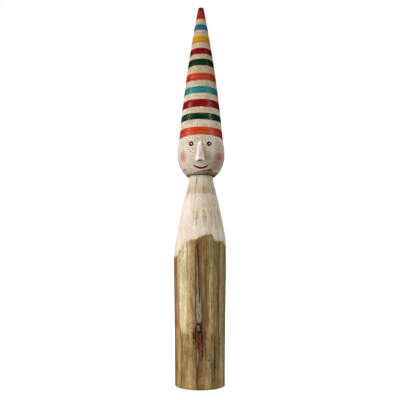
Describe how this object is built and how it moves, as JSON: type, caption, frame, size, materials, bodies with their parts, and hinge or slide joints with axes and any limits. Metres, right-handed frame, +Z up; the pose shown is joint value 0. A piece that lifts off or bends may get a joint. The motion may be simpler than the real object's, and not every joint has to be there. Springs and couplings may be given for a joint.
{
  "type": "tomte gnome figurine",
  "caption": "Standing wooden gnome: a debarked log sharpened to a neck, a turned round head with a whittled nose and painted face, and a tall striped cone hat.",
  "frame": {"origin": "where the turning axis of head and hat meets the flat foot", "axes": "+Z up along the turning axis, face towards -Y, +X to the right of someone looking at the face"},
  "size_m": [0.0805, 0.0805, 0.5982],
  "materials": {
    "log_wood": "debarked and dry, unsealed",
    "turned_wood": "turned or whittled, bare",
    "dowel_wood": "smooth, unfinished",
    "nose_wood": "thin white and pink wash",
    "orange_paint": "brushed coat, satin",
    "green_paint": "brushed coat, satin",
    "crimson_paint": "brushed coat, satin",
    "teal_paint": "brushed coat, satin",
    "blue_paint": "brushed coat, satin",
    "yellow_paint": "brushed coat, satin",
    "black_paint": "brushed coat, satin",
    "white_paint": "brushed coat, satin",
    "mouth_paint": "brushed coat, satin",
    "blush_paint": "thin rubbed coat, matt"
  },
  "bodies": {
    "root": {"log_body": "log_wood", "neck_dowel": "dowel_wood", "head": "turned_wood", "hat_dowel": "dowel_wood", "hat": "turned_wood", "nose": "nose_wood", "hat_stripe_01": "orange_paint", "hat_stripe_02": "green_paint", "hat_stripe_03": "crimson_paint", "hat_stripe_04": "teal_paint", "hat_stripe_05": "orange_paint", "hat_stripe_06": "green_paint", "hat_stripe_07": "crimson_paint", "hat_stripe_08": "yellow_paint", "hat_stripe_09": "blue_paint", "hat_stripe_10": "orange_paint", "left_eye": "black_paint", "right_eye": "black_paint", "eye_glints": "white_paint", "mouth": "mouth_paint", "left_cheek": "blush_paint", "right_cheek": "blush_paint"}
  },
  "joints": []
}
